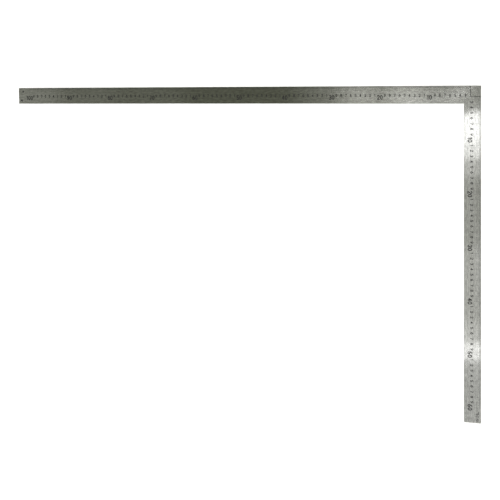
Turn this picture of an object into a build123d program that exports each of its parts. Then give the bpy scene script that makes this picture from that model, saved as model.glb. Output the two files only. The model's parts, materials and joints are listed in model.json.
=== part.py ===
from build123d import *
import os

# Steel square, in millimetres. The origin is the outer corner, on the underside, so that
# X and Y are the readings of the two scales: X runs along the long arm, Y along the short
# arm, and Z out of the graduated face.

# Blade
LONG_ARM = 1028.0
SHORT_ARM = 629.0
BLADE_WIDTH = 33.0
THICKNESS = 2.0
OUTER_CORNER_ROUND = 0.6
FREE_CORNER_ROUND = 1.2
INNER_CORNER_ROUND = 0.8
EDGE_BREAK = 0.2

# Hanging hole, near the free end of the long arm
HOLE_RADIUS = 2.25
HOLE_FROM_END = 7.2
HOLE_FROM_OUTER_EDGE = 26.4

# Scales, along the outer edge of each arm, numbered in centimetres
LONG_SCALE_CM = 100
SHORT_SCALE_CM = 60
CM = 10
HALF_CM = 5
TEN = 10
CORNER_SQUARE_CM = 2

# Black marking enamel on the graduated face
ENAMEL = 0.04
LINE_START = 0.3
FINE_LINE_WIDTH = 0.2
BOLD_LINE_WIDTH = 0.3
CORNER_LINE_WIDTH = 0.9
MM_LINE = 3.8
HALF_CM_LINE = 5.8
CM_LINE = 9.5
TEN_CM_LINE = 12.5

# Numerals, and the distance of their middle from the outer edge
SMALL_FIGURE = {"height": 5.8, "width": 3.9, "stroke": 1.05}
SMALL_FIGURE_CENTRE = 17.5
LARGE_FIGURE = {"height": 9.2, "width": 5.5, "stroke": 1.6}
LARGE_FIGURE_CENTRE = 21.2

# The gap between two figures, and the room of the figure 1, as fractions of a figure's width
FIGURE_GAP = 0.13
ONE_ROOM = 0.5

# Proportions of the figures, as fractions of their half width or half height, and the
# angles of their open bows, in degrees from +X
FLAG_REACH = 0.7
FLAG_END = 0.6
CROWN_START, CROWN_SWEEP = 170, -205
BOW_SWEEP = 240
BOW_TOP_START, BOW_FOOT_START = 150, 90
STEM_SIDE = 0.45
CROSSBAR_HEIGHT = 0.45
FIVE_SIDE = 0.8
FIVE_TOP_REACH = 0.9
BOWL_START, BOWL_SWEEP = 140, -290
BACK_MIDDLE = (0.55, 0.5)
BACK_TIP = 0.6
LEG_FOOT = 0.3
HEAD_HEIGHT = 0.46
HEAD_WIDTH = 0.88

# Round dot at the long arm's free end
DOT_RADIUS = 2.0
DOT_FROM_END = 11.2
DOT_FROM_OUTER_EDGE = 7.6

# Unit mark at the short arm's free end: a small right angle, then the letters c and m
UNIT_SIGN = {"height": 6.0, "width": 5.6, "stroke": 1.1}
UNIT_LETTER = {"height": 4.8, "width": 5.0, "stroke": 1.0}
UNIT_PITCH = 6.4
UNIT_SIGN_SQUARE = 0.4
LETTER_C_START, LETTER_C_SWEEP = 45, 270
UNIT_MARK_FROM_END = 12.5
UNIT_MARK_FROM_OUTER_EDGE = 7.0


def stroke_along(path, stroke):
    """A stroke of even width along a line or an arc, with round ends."""
    ends = [Pos(path @ t) * Circle(stroke / 2) for t in (0, 1)]
    return trace(path, stroke) + ends


def bar(start, end, stroke):
    """A straight stroke."""
    return stroke_along(Line(start, end), stroke)


def bow(centre, radius, start, sweep, stroke):
    """A round stroke, from a start angle through a sweep, both in degrees."""
    return stroke_along(CenterArc(centre, radius, start, sweep), stroke)


def oval(centre, half_width, half_height, stroke):
    """A closed oval stroke, sized to its middle line."""
    outer = Ellipse(half_width + stroke / 2, half_height + stroke / 2)
    inner = Ellipse(half_width - stroke / 2, half_height - stroke / 2)
    return Pos(*centre) * (outer - inner)


def figure_one(right, top, stroke):
    """The figure 1: a stem with a short flag."""
    flag = (-right * FLAG_REACH, top * FLAG_END)
    return bar((0, -top), (0, top), stroke) + bar((0, top), flag, stroke)


def figure_two(right, top, stroke):
    """The figure 2: a round crown, a slanting neck and a flat foot."""
    crown = CenterArc((0, top - right), right, CROWN_START, CROWN_SWEEP)
    foot = (-right, -top)
    sketch = stroke_along(crown, stroke) + bar(crown @ 1, foot, stroke)
    return sketch + bar(foot, (right, -top), stroke)


def figure_three(right, top, stroke):
    """The figure 3: two open rounds, one over the other."""
    radius = top / 2
    upper = bow((0, radius), radius, BOW_TOP_START, -BOW_SWEEP, stroke)
    return upper + bow((0, -radius), radius, BOW_FOOT_START, -BOW_SWEEP, stroke)


def figure_four(right, top, stroke):
    """The figure 4: a slanting side, a crossbar and a stem."""
    stem = right * STEM_SIDE
    crossing = -top * CROSSBAR_HEIGHT
    sketch = bar((stem, -top), (stem, top), stroke)
    sketch += bar((stem, top), (-right, crossing), stroke)
    return sketch + bar((-right, crossing), (right, crossing), stroke)


def figure_five(right, top, stroke):
    """The figure 5: a flat top, a short side and a round bowl."""
    bowl = CenterArc((0, right - top), right, BOWL_START, BOWL_SWEEP)
    side = -right * FIVE_SIDE
    sketch = bar((side, top), (right * FIVE_TOP_REACH, top), stroke)
    sketch += bar((side, top), bowl @ 0, stroke)
    return sketch + stroke_along(bowl, stroke)


def figure_six(right, top, stroke):
    """The figure 6: a round bowl with a curved back."""
    middle = (-right * BACK_MIDDLE[0], top * BACK_MIDDLE[1])
    back = ThreePointArc((-right, right - top), middle, (right * BACK_TIP, top))
    return oval((0, right - top), right, right, stroke) + stroke_along(back, stroke)


def figure_seven(right, top, stroke):
    """The figure 7: a flat top and a slanting leg."""
    corner = (right, top)
    return bar((-right, top), corner, stroke) + bar(corner, (-right * LEG_FOOT, -top), stroke)


def figure_eight(right, top, stroke):
    """The figure 8: a smaller round over a larger one."""
    upper = top * HEAD_HEIGHT
    lower = top - upper
    head = oval((0, top - upper), right * HEAD_WIDTH, upper, stroke)
    return head + oval((0, lower - top), right, lower, stroke)


def figure(value, height, width, stroke):
    """One figure from 0 to 9, centred on the origin, with its top towards +Y."""
    right = (width - stroke) / 2
    top = (height - stroke) / 2
    if value == 0:
        return oval((0, 0), right, top, stroke)
    if value == 9:
        return Rot(0, 0, 180) * figure_six(right, top, stroke)
    shapes = [
        figure_one,
        figure_two,
        figure_three,
        figure_four,
        figure_five,
        figure_six,
        figure_seven,
        figure_eight,
    ]
    return shapes[value - 1](right, top, stroke)


def letter_c(height, width, stroke):
    """A small letter c: an open round."""
    return bow((0, 0), (height - stroke) / 2, LETTER_C_START, LETTER_C_SWEEP, stroke)


def letter_m(height, width, stroke):
    """A small letter m: three stems joined by two arches."""
    foot = (stroke - height) / 2
    arch = (width - stroke) / 4
    crown = -foot - arch
    sketch = bow((-arch, crown), arch, 0, 180, stroke) + bow((arch, crown), arch, 0, 180, stroke)
    return sketch + [bar((x, foot), (x, crown), stroke) for x in (-2 * arch, 0, 2 * arch)]


def right_angle(height, width, stroke):
    """A right angle with a small square drawn in its corner."""
    top = (height - stroke) / 2
    right = (width - stroke) / 2
    corner = (right, top)
    inset = (right - width * UNIT_SIGN_SQUARE, top - height * UNIT_SIGN_SQUARE)
    sketch = bar((-right, top), corner, stroke) + bar(corner, (right, -top), stroke)
    sketch += bar((right, inset[1]), inset, stroke / 2)
    return sketch + bar(inset, (inset[0], top), stroke / 2)


def on_long_arm(reading, distance):
    """A place on the long arm's graduated face, with its up direction towards the outer edge."""
    return Pos(reading, distance, THICKNESS) * Rot(0, 0, 180)


def on_short_arm(reading, distance):
    """A place on the short arm's graduated face, with its up direction towards the outer edge."""
    return Pos(distance, reading, THICKNESS) * Rot(0, 0, 90)


def enamel(sketch):
    """A thin raised layer in the outline of a sketch."""
    return extrude(sketch, ENAMEL)


def lines(place, readings, length, width):
    """One line across the scale at each reading, from just inside the outer edge."""
    line = enamel(Rectangle(width, length))
    middle = LINE_START + length / 2
    return Compound([place(reading, middle) * line for reading in readings])


def numerals(place, numbers, distance, style):
    """Each number, centred on its reading, as separate figures."""
    shapes = [enamel(figure(value, **style)) for value in range(10)]
    width = style["width"]
    gap = width * FIGURE_GAP
    solids = []
    for reading, number in numbers:
        digits = [int(character) for character in str(number)]
        rooms = [width * ONE_ROOM if value == 1 else width for value in digits]
        start = -(sum(rooms) + gap * (len(digits) - 1)) / 2
        for value, room in zip(digits, rooms):
            solids.append(place(reading, distance) * Pos(start + room / 2, 0) * shapes[value])
            start += room + gap
    return Compound(solids)


def scale(place, name, last_cm):
    """The graduations and numerals of one arm, from the corner square to the last centimetre."""
    first_mm = CORNER_SQUARE_CM * CM + 1
    millimetres = range(first_mm, last_cm * CM + 1)
    centimetres = range(CORNER_SQUARE_CM + 1, last_cm + 1)
    tens = [cm for cm in centimetres if cm % TEN == 0]
    units = [cm for cm in centimetres if cm % TEN]
    fine = [mm for mm in millimetres if mm % HALF_CM]
    halves = [mm for mm in millimetres if mm % CM == HALF_CM]
    small = [(cm * CM, cm % TEN) for cm in units]
    large = [(cm * CM, cm) for cm in tens]
    return {
        f"{name}_mm_lines": lines(place, fine, MM_LINE, FINE_LINE_WIDTH),
        f"{name}_half_cm_lines": lines(place, halves, HALF_CM_LINE, FINE_LINE_WIDTH),
        f"{name}_cm_lines": lines(place, [cm * CM for cm in units], CM_LINE, FINE_LINE_WIDTH),
        f"{name}_ten_cm_lines": lines(place, [cm * CM for cm in tens], TEN_CM_LINE, BOLD_LINE_WIDTH),
        f"{name}_small_numerals": numerals(place, small, SMALL_FIGURE_CENTRE, SMALL_FIGURE),
        f"{name}_large_numerals": numerals(place, large, LARGE_FIGURE_CENTRE, LARGE_FIGURE),
    }


def corner_square():
    """The two lines that close a square at the outer corner."""
    side = CORNER_SQUARE_CM * CM
    length = side - LINE_START
    middle = LINE_START + length / 2
    outer = side + CORNER_LINE_WIDTH / 2
    along_x = Pos(middle, side) * Rectangle(length, CORNER_LINE_WIDTH)
    along_y = Pos(side, (LINE_START + outer) / 2) * Rectangle(CORNER_LINE_WIDTH, outer - LINE_START)
    return Pos(0, 0, THICKNESS) * enamel(along_x + along_y)


def end_dot():
    """The round dot near the long arm's free end."""
    place = Pos(LONG_ARM - DOT_FROM_END, DOT_FROM_OUTER_EDGE, THICKNESS)
    return place * enamel(Circle(DOT_RADIUS))


def unit_mark():
    """The right angle and the letters c and m, in a row."""
    signs = [right_angle(**UNIT_SIGN), letter_c(**UNIT_LETTER), letter_m(**UNIT_LETTER)]
    place = on_short_arm(SHORT_ARM - UNIT_MARK_FROM_END, UNIT_MARK_FROM_OUTER_EDGE)
    return Compound([place * Pos((i - 1) * UNIT_PITCH, 0) * enamel(sign) for i, sign in enumerate(signs)])


def rounded(face, corner, radius):
    """The same outline with one corner rounded."""
    return fillet(face.vertices().sort_by_distance(corner)[0], radius)


def blade():
    """The L-shaped sheet, with its hanging hole and its upper edges lightly broken."""
    outline = Polyline(
        (0, 0),
        (LONG_ARM, 0),
        (LONG_ARM, BLADE_WIDTH),
        (BLADE_WIDTH, BLADE_WIDTH),
        (BLADE_WIDTH, SHORT_ARM),
        (0, SHORT_ARM),
        close=True,
    )
    face = Sketch() + make_face(outline)
    face = rounded(face, (0, 0), OUTER_CORNER_ROUND)
    face = rounded(face, (BLADE_WIDTH, BLADE_WIDTH), INNER_CORNER_ROUND)
    for corner in ((LONG_ARM, 0), (LONG_ARM, BLADE_WIDTH), (BLADE_WIDTH, SHORT_ARM), (0, SHORT_ARM)):
        face = rounded(face, corner, FREE_CORNER_ROUND)
    face -= Pos(LONG_ARM - HOLE_FROM_END, HOLE_FROM_OUTER_EDGE) * Circle(HOLE_RADIUS)
    sheet = extrude(face, THICKNESS)
    upper_edges = sheet.faces().sort_by(Axis.Z)[-1].edges()
    return chamfer(upper_edges, EDGE_BREAK)


def main():
    nodes = {"blade": blade(), "corner_square_lines": corner_square()}
    nodes.update(scale(on_long_arm, "long", LONG_SCALE_CM))
    nodes.update(scale(on_short_arm, "short", SHORT_SCALE_CM))
    nodes["end_dot"] = end_dot()
    nodes["unit_mark"] = unit_mark()
    os.makedirs("parts", exist_ok=True)
    for name, shape in nodes.items():
        export_step(shape, f"parts/{name}.step")


main()
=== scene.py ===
import json
import math

import bmesh
import bpy
from mathutils import Matrix, Vector


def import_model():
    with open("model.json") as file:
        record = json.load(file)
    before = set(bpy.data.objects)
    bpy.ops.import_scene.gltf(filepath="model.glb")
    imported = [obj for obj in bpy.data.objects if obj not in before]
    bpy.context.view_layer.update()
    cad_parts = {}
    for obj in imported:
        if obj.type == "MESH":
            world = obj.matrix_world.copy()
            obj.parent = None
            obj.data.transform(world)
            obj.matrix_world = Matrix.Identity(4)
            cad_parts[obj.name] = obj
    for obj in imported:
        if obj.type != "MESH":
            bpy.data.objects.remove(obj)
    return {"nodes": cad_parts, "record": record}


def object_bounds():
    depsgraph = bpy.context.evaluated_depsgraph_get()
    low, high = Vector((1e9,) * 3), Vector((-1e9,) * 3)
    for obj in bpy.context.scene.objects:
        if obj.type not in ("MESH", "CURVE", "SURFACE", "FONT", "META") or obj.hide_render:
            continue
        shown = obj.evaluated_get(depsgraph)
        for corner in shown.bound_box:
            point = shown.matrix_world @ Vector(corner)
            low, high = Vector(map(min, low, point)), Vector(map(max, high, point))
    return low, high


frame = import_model()
CAD_LOW, CAD_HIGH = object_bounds()
NODES = frame["nodes"]
MOUNTS = {mount["name"]: mount for mount in frame["record"]["mounts"]}

# Sizes, in metres. The frame's origin is the outer corner, with X along the long arm,
# Y along the short arm and Z out of the graduated face.
CENTRE = (CAD_LOW + CAD_HIGH) / 2
ARM_WIDTH = MOUNTS["long_inner_edge"]["pos_m"][1]
ARM_MIDDLE = ARM_WIDTH / 2
GRAIN_TURN = 0.03
FLOOR_HALF = 14.0
FLOOR_THICKNESS = 0.02
# The disc of painted shade in the hanging hole: its thickness and its number of sides
HOLE_SHADE_THICKNESS = 0.0004
HOLE_SHADE_SIDES = 32
HOLE_CLEARANCE = 0.0001
MM_PER_METRE = 1000
X, Y = 0, 1

# Camera: where it stands, what it looks at, and its roll about the line between them
CAMERA_PLACE = Vector((-0.953, -0.034, 2.782))
CAMERA_AIM = Vector((0.453, 0.223, 0.0))
CAMERA_UP = Vector((0.0, -1.0, 0.0))
CAMERA_ROLL = math.radians(0.625)
CAMERA_LENS = 114.1
CAMERA_SENSOR = 36.0
CAMERA_SHIFT = (-0.024, -0.10)

# Softboxes, which face the square and light it and the floor: centre and brightness
SOFTBOX_SIZE = (3.0, 1.8)
SOFTBOXES = {
    "key_softbox": ((-2.1, 0.3, 4.4), 8.0),
    "far_softbox": ((0.6, 2.6, 3.8), 5.8),
    "near_softbox": ((0.6, -2.1, 3.8), 5.8),
}

# Panels overhead, which the steel mirrors. Each is placed by the stretch of an arm that shows
# it, as the arm's scale reads, and has a reach across that arm, measured on the ceiling, and a
# brightness. Where panels overlap, their brightness adds up, so each hangs a little lower.
CEILING = 2.5
PANEL_GAP = 0.004
WIDE, ONE_SIDE, OUTSIDE = (-0.28, 0.28), (-0.08, 0.90), (-0.45, 0.03)
LONG_PANELS = [
    (-0.10, 0.033, ONE_SIDE, 0.06),
    (0.025, 0.121, ONE_SIDE, 0.26),
    (0.121, 0.171, ONE_SIDE, 0.66),
    (0.171, 0.222, ONE_SIDE, 0.40),
    (0.222, 0.264, ONE_SIDE, 0.72),
    (0.264, 0.310, ONE_SIDE, 0.26),
    (0.310, 0.368, ONE_SIDE, 0.12),
    (0.62, 1.10, ONE_SIDE, 0.045),
    (0.78, 1.10, ONE_SIDE, 0.05),
    (0.92, 1.10, ONE_SIDE, 0.14),
]
SHORT_PANELS = [
    (0.0, 0.75, WIDE, 0.25),
    (0.047, 0.102, OUTSIDE, 2.3),
    (0.102, 0.131, OUTSIDE, 1.5),
    (0.131, 0.165, OUTSIDE, 0.42),
    (0.290, 0.75, OUTSIDE, 0.24),
    (0.43, 0.535, OUTSIDE, 0.30),
    (0.470, 0.502, OUTSIDE, 1.35),
    (0.53, 0.75, OUTSIDE, 0.22),
]
LONG_TINT = (1.0, 1.0, 0.99)
SHORT_TINT = (0.99, 0.99, 1.04)

# Colours
STEEL_LIGHT = (0.66, 0.66, 0.63, 1.0)
STEEL_DARK = (0.55, 0.55, 0.51, 1.0)
ENAMEL_BLACK = (0.005, 0.005, 0.005, 1.0)
ENAMEL_WORN = (0.028, 0.028, 0.026, 1.0)
FLOOR_COLOUR = (0.88, 0.88, 0.87, 1.0)
FLOOR_MOTTLE = (0.84, 0.84, 0.83, 1.0)
# Painted shade, seen through the hanging hole
HOLE_SHADE_BLACK = (0.01, 0.01, 0.01, 1.0)
WORLD_ZENITH = (0.135, 0.142, 0.110, 1.0)
WORLD_HORIZON = (0.42, 0.42, 0.41, 1.0)

# Where the sky turns from the horizon's colour to the zenith's, as heights of a unit ray
HORIZON_TOP, ZENITH_FOOT = 0.5, 0.72

# Noises: the scale along each axis, per metre, and the detail. Those of the steel lie along
# the arm, across it and through it, and the others along X, Y and Z.
CLOUD = ((5.0, 40.0, 1.0), 3.0)
PATINA = ((110.0, 330.0, 1.0), 2.0)
STREAK = ((7.0, 900.0, 1.0), 3.0)
GRAIN = ((60.0, 6000.0, 1.0), 2.0)
SCRATCH = ((14.0, 2600.0, 1.0), 1.0)
WEAR = ((220.0, 220.0, 1.0), 5.0)
SPECKLE = ((2500.0, 2500.0, 1.0), 3.0)
MOTTLE = ((3.0, 3.0, 1.0), 3.0)

# The values between which a noise takes effect, and the shades that it gives there
NOISE_LOW, NOISE_HIGH = 0.3, 0.7
WEAR_LOW, WEAR_HIGH = 0.45, 0.75
SCRATCH_LOW, SCRATCH_HIGH = 0.70, 0.76
STREAK_SHADES = (0.90, 1.04)
GRAIN_SHADES = (0.93, 1.05)
PATINA_SHADES = (0.80, 1.14)
SPECKLE_SHADES = (0.8, 1.1)
SCRATCH_SHADE = 0.80
SCRATCH_STRENGTH = 0.35

# Painted shade along the arms' edges: where it starts, as a share of the way out from an arm's middle, and
# its shade
EDGE_START = 0.93
EDGE_PAINTED_SHADE = 0.85

# Finish: roughness from the noise's low to its high, and each bump's strength and depth
STEEL_ROUGHNESS = (0.085, 0.115)
STEEL_BUMP = (0.4, 0.00002)
ENAMEL_ROUGHNESS = (0.45, 0.65)
ENAMEL_BUMP = (0.2, 0.00001)
ENAMEL_SPECULAR = 0.2
MATT = 0.9

# The sockets of a mix node that mixes colours
MIX_FACTOR, MIX_FIRST, MIX_SECOND, MIX_RESULT = 0, 6, 7, 2


def grey(value):
    return (value, value, value, 1.0)


class Graph:
    """Adds shader nodes to a node tree and links them."""

    def __init__(self, tree):
        self.tree = tree
        self.tree.nodes.clear()

    def node(self, kind, inputs=None, **settings):
        """A new node. inputs gives each named or numbered input a value or another node's output."""
        made = self.tree.nodes.new(kind)
        for key, value in settings.items():
            setattr(made, key, value)
        for key, value in (inputs or {}).items():
            if isinstance(value, bpy.types.NodeSocket):
                self.tree.links.new(value, made.inputs[key])
            else:
                made.inputs[key].default_value = value
        return made

    def math(self, operation, first, second=0.0):
        return self.node("ShaderNodeMath", {0: first, 1: second}, operation=operation).outputs[0]

    def pick(self, switch, first, second):
        """The first number where the switch is 0, and the second where it is 1."""
        kept = self.math("MULTIPLY", first, self.math("SUBTRACT", 1.0, switch))
        return self.math("ADD", kept, self.math("MULTIPLY", second, switch))

    def noise(self, coordinates, kind):
        """A noise of one of the kinds above."""
        scale, detail = kind
        stretched = self.node("ShaderNodeMapping", {"Vector": coordinates, "Scale": scale}).outputs[0]
        settings = {"Vector": stretched, "Scale": 1.0, "Detail": detail}
        return self.node("ShaderNodeTexNoise", settings).outputs["Fac"]

    def ramp(self, factor, first, last):
        """A colour against a factor, between two pairs of a position and a colour."""
        made = self.node("ShaderNodeValToRGB", {"Fac": factor})
        for element, (position, colour) in zip(made.color_ramp.elements, (first, last)):
            element.position = position
            element.color = colour
        return made.outputs["Color"]

    def mix(self, mode, factor, first, second):
        """Two colours mixed by a blend mode."""
        inputs = {MIX_FACTOR: factor, MIX_FIRST: first, MIX_SECOND: second}
        made = self.node("ShaderNodeMix", inputs, data_type="RGBA", blend_type=mode)
        return made.outputs[MIX_RESULT]

    def shade(self, colour, noise, shades):
        """A colour that a noise makes darker or lighter."""
        dark, light = shades
        shading = self.ramp(noise, (NOISE_LOW, grey(dark)), (NOISE_HIGH, grey(light)))
        return self.mix("MULTIPLY", 1.0, colour, shading)

    def spread(self, value, span):
        """A number from 0 to 1, spread over a span."""
        low, high = span
        return self.node("ShaderNodeMapRange", {"Value": value, "To Min": low, "To Max": high}).outputs[0]

    def bump(self, height, kind):
        """A normal that follows small heights, from a bump's strength and depth."""
        strength, depth = kind
        inputs = {"Strength": strength, "Distance": depth, "Height": height}
        return self.node("ShaderNodeBump", inputs).outputs[0]


def new_material(name):
    material = bpy.data.materials.new(name)
    material.use_nodes = True
    return material, Graph(material.node_tree)


def surface(graph, inputs):
    """A Principled shader with these inputs, linked to the material's output."""
    shader = graph.node("ShaderNodeBsdfPrincipled", inputs)
    output = graph.node("ShaderNodeOutputMaterial")
    graph.tree.links.new(shader.outputs[0], output.inputs["Surface"])


def place_in_frame(graph):
    return graph.node("ShaderNodeTexCoord").outputs["Object"]


def arm_coordinates(graph):
    """Distance along the arm, distance across it, and how much the grain follows each arm.

    The arms meet at a mitre across the corner, where the grain turns from one to the other."""
    place = graph.node("ShaderNodeSeparateXYZ", {0: place_in_frame(graph)}).outputs
    past_mitre = graph.math("SUBTRACT", place["Y"], place["X"])
    on_short = graph.math("GREATER_THAN", past_mitre, 0.0)
    along = graph.pick(on_short, place["X"], place["Y"])
    across = graph.pick(on_short, place["Y"], place["X"])
    vector = graph.node("ShaderNodeCombineXYZ", {"X": along, "Y": across, "Z": place["Z"]}).outputs[0]
    turn = {"Value": past_mitre, "From Min": -GRAIN_TURN, "From Max": GRAIN_TURN}
    short = graph.node("ShaderNodeMapRange", turn).outputs[0]
    long = graph.math("SUBTRACT", 1.0, short)
    return vector, across, long, short


def steel_material():
    """Stainless steel brushed along each arm, with streaks, light scratches and painted shade along the
    edges.
    """
    material, graph = new_material("brushed_steel")
    arm, across, long, short = arm_coordinates(graph)
    cloud = graph.noise(arm, CLOUD)
    patina = graph.noise(arm, PATINA)
    streak = graph.noise(arm, STREAK)
    grain = graph.noise(arm, GRAIN)
    scratch = graph.noise(arm, SCRATCH)

    colour = graph.ramp(cloud, (NOISE_LOW, STEEL_DARK), (NOISE_HIGH, STEEL_LIGHT))
    colour = graph.shade(colour, streak, STREAK_SHADES)
    colour = graph.shade(colour, grain, GRAIN_SHADES)
    colour = graph.shade(colour, patina, PATINA_SHADES)
    marks = graph.ramp(scratch, (SCRATCH_LOW, grey(0.0)), (SCRATCH_HIGH, grey(1.0)))
    colour = graph.mix("MIX", graph.math("MULTIPLY", marks, SCRATCH_STRENGTH), colour, grey(SCRATCH_SHADE))
    # Painted shade: the colour darkens towards each arm's edges
    from_middle = graph.math("ABSOLUTE", graph.math("SUBTRACT", across, ARM_MIDDLE))
    edge = graph.math("DIVIDE", from_middle, ARM_MIDDLE)
    painted_edge_shade = graph.ramp(edge, (EDGE_START, grey(1.0)), (1.0, grey(EDGE_PAINTED_SHADE)))
    colour = graph.mix("MULTIPLY", 1.0, colour, painted_edge_shade)

    surface(
        graph,
        {
            "Base Color": colour,
            "Metallic": 1.0,
            "Roughness": graph.spread(graph.mix("MIX", 0.5, streak, cloud), STEEL_ROUGHNESS),
            "Anisotropic": 1.0,
            "Tangent": graph.node("ShaderNodeCombineXYZ", {"X": short, "Y": long}).outputs[0],
            "Normal": graph.bump(grain, STEEL_BUMP),
        },
    )
    return material


def enamel_material():
    """Black marking enamel, faintly worn."""
    material, graph = new_material("marking_enamel")
    place = place_in_frame(graph)
    wear = graph.noise(place, WEAR)
    speckle = graph.noise(place, SPECKLE)
    colour = graph.ramp(wear, (WEAR_LOW, ENAMEL_BLACK), (WEAR_HIGH, ENAMEL_WORN))
    surface(
        graph,
        {
            "Base Color": graph.shade(colour, speckle, SPECKLE_SHADES),
            "Roughness": graph.spread(wear, ENAMEL_ROUGHNESS),
            "Specular IOR Level": ENAMEL_SPECULAR,
            "Normal": graph.bump(speckle, ENAMEL_BUMP),
        },
    )
    return material


def floor_material():
    """A plain pale matt board."""
    material, graph = new_material("pale_floor")
    mottle = graph.noise(place_in_frame(graph), MOTTLE)
    colour = graph.ramp(mottle, (NOISE_LOW, FLOOR_MOTTLE), (NOISE_HIGH, FLOOR_COLOUR))
    surface(graph, {"Base Color": colour, "Roughness": MATT})
    return material


def hole_shade_material():
    """Plain matt black, the colour of the painted shade in the hanging hole."""
    material, graph = new_material("painted_hole_shade")
    surface(graph, {"Base Color": HOLE_SHADE_BLACK, "Roughness": MATT})
    return material


def dress(materials):
    """Gives each CAD node the material of its slot."""
    slots = {part["node"]: part["material_slot"] for part in frame["record"]["subparts"]}
    for name, node in NODES.items():
        node.data.materials.clear()
        node.data.materials.append(materials[slots[name]])


def floor():
    """The surface that the square lies on."""
    mesh = bpy.data.meshes.new("floor")
    low, high = CAD_LOW.z - FLOOR_THICKNESS, CAD_LOW.z
    corners = [
        (CENTRE.x + side_x * FLOOR_HALF, CENTRE.y + side_y * FLOOR_HALF, z)
        for z in (low, high)
        for side_x, side_y in ((-1, -1), (1, -1), (1, 1), (-1, 1))
    ]
    sides = [(i, (i + 1) % 4, (i + 1) % 4 + 4, i + 4) for i in range(4)]
    mesh.from_pydata(corners, [], [(3, 2, 1, 0), (4, 5, 6, 7), *sides])
    mesh.materials.append(floor_material())
    board = bpy.data.objects.new("floor", mesh)
    bpy.context.scene.collection.objects.link(board)


def hole_shade_disc():
    """A small black disc on the floor, inside the hanging hole: painted shade, so that the hole shows
    dark.
    """
    hole = MOUNTS["hanging_hole"]
    centre = Vector(hole["pos_m"])
    radius = hole["dims"]["r_mm"] / MM_PER_METRE - HOLE_CLEARANCE
    shape = bmesh.new()
    bmesh.ops.create_cone(
        shape,
        cap_ends=True,
        segments=HOLE_SHADE_SIDES,
        radius1=radius,
        radius2=radius,
        depth=HOLE_SHADE_THICKNESS,
        matrix=Matrix.Translation((centre.x, centre.y, CAD_LOW.z + HOLE_SHADE_THICKNESS / 2)),
    )
    mesh = bpy.data.meshes.new("hole_shade_disc")
    shape.to_mesh(mesh)
    shape.free()
    mesh.materials.append(hole_shade_material())
    disc = bpy.data.objects.new("hole_shade_disc", mesh)
    bpy.context.scene.collection.objects.link(disc)


def camera():
    """A camera at the viewing angle, held level with the long arm."""
    forward = (CAMERA_AIM - CAMERA_PLACE).normalized()
    right = forward.cross(CAMERA_UP).normalized()
    up = right.cross(forward)
    turn = Matrix.Rotation(CAMERA_ROLL, 3, forward)
    axes = Matrix((turn @ right, turn @ up, -forward)).transposed()
    data = bpy.data.cameras.new("camera")
    data.lens = CAMERA_LENS
    data.sensor_width = CAMERA_SENSOR
    data.shift_x, data.shift_y = CAMERA_SHIFT
    made = bpy.data.objects.new("camera", data)
    made.matrix_world = Matrix.Translation(CAMERA_PLACE) @ axes.to_4x4()
    bpy.context.scene.collection.objects.link(made)
    bpy.context.scene.camera = made


def area_light(name, centre, size, glow):
    """A rectangular light that faces down. glow is the brightness of its face, whatever its size."""
    data = bpy.data.lights.new(name, "AREA")
    data.shape = "RECTANGLE"
    data.size, data.size_y = size
    data.energy = glow * math.pi * size[0] * size[1]
    made = bpy.data.objects.new(name, data)
    made.location = centre
    bpy.context.scene.collection.objects.link(made)
    return made


def softboxes():
    """The softboxes, turned to face the square."""
    for name, (centre, glow) in SOFTBOXES.items():
        softbox = area_light(name, centre, SOFTBOX_SIZE, glow)
        softbox.rotation_euler = (CENTRE - Vector(centre)).to_track_quat("-Z", "Y").to_euler()


def mirrored(place, eye):
    """Where on the ceiling, along one axis, the camera's sight of a place on the blade is mirrored to."""
    return place + (place - eye) * (CEILING / CAMERA_PLACE.z)


def overhead(name, panels, along, across, tint, height):
    """Hangs one arm's panels, each a little lower than the last, and gives the height reached."""
    middle = mirrored(ARM_MIDDLE, CAMERA_PLACE[across])
    for i, (start, end, reach, glow) in enumerate(panels):
        spans = {
            along: (mirrored(start, CAMERA_PLACE[along]), mirrored(end, CAMERA_PLACE[along])),
            across: (middle + reach[0], middle + reach[1]),
        }
        centre = (sum(spans[X]) / 2, sum(spans[Y]) / 2, height)
        size = (spans[X][1] - spans[X][0], spans[Y][1] - spans[Y][0])
        area_light(f"{name}_{i}", centre, size, glow).data.color = tint
        height -= PANEL_GAP
    return height


def lights():
    """The softboxes, and the panels overhead of each arm."""
    softboxes()
    height = overhead("long_panel", LONG_PANELS, X, Y, LONG_TINT, CEILING)
    overhead("short_panel", SHORT_PANELS, Y, X, SHORT_TINT, height)


def world():
    """A soft surround, pale at the horizon and dimmer overhead."""
    made = bpy.data.worlds.new("surround")
    made.use_nodes = True
    graph = Graph(made.node_tree)
    ray = graph.node("ShaderNodeTexCoord").outputs["Generated"]
    height = graph.node("ShaderNodeSeparateXYZ", {0: ray}).outputs["Z"]
    colour = graph.ramp(height, (HORIZON_TOP, WORLD_HORIZON), (ZENITH_FOOT, WORLD_ZENITH))
    background = graph.node("ShaderNodeBackground", {"Color": colour, "Strength": 1.0})
    output = graph.node("ShaderNodeOutputWorld")
    graph.tree.links.new(background.outputs[0], output.inputs["Surface"])
    bpy.context.scene.world = made


def main():
    camera()
    world()
    lights()
    dress({"brushed_stainless": steel_material(), "black_enamel": enamel_material()})
    floor()
    # Painted shade: a black disc under the hanging hole
    hole_shade_disc()
    bpy.context.scene.view_settings.view_transform = "Standard"


main()
